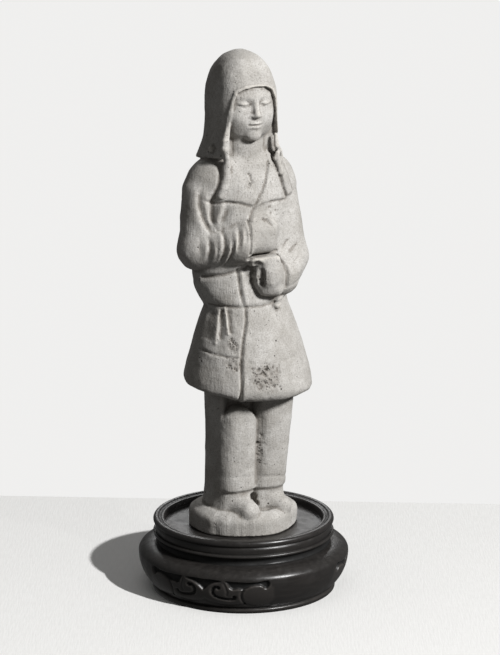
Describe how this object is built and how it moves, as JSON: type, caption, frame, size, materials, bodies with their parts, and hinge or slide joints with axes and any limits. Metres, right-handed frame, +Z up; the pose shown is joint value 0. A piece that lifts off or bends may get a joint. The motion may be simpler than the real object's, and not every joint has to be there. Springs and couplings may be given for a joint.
{
  "type": "tomb figurine",
  "caption": "Moulded earthenware tomb figurine of a standing attendant in a hood and belted coat, on a low slab that rests in a round turned and carved wood stand.",
  "frame": {"origin": "centre of the wood stand's flat underside, on the surface that it stands on", "axes": "+Z up along the stand's turning axis; the figure faces -Y; +X is the figure's left side"},
  "size_m": [0.1053, 0.1052, 0.2704],
  "materials": {
    "earthenware": "bare buff-grey fired clay, dull and finely pitted, with darker stains",
    "dark_hardwood": "near-black stained hardwood, oiled to a soft shine"
  },
  "bodies": {
    "root": {"figurine": "earthenware", "wood_stand": "dark_hardwood"}
  },
  "joints": []
}
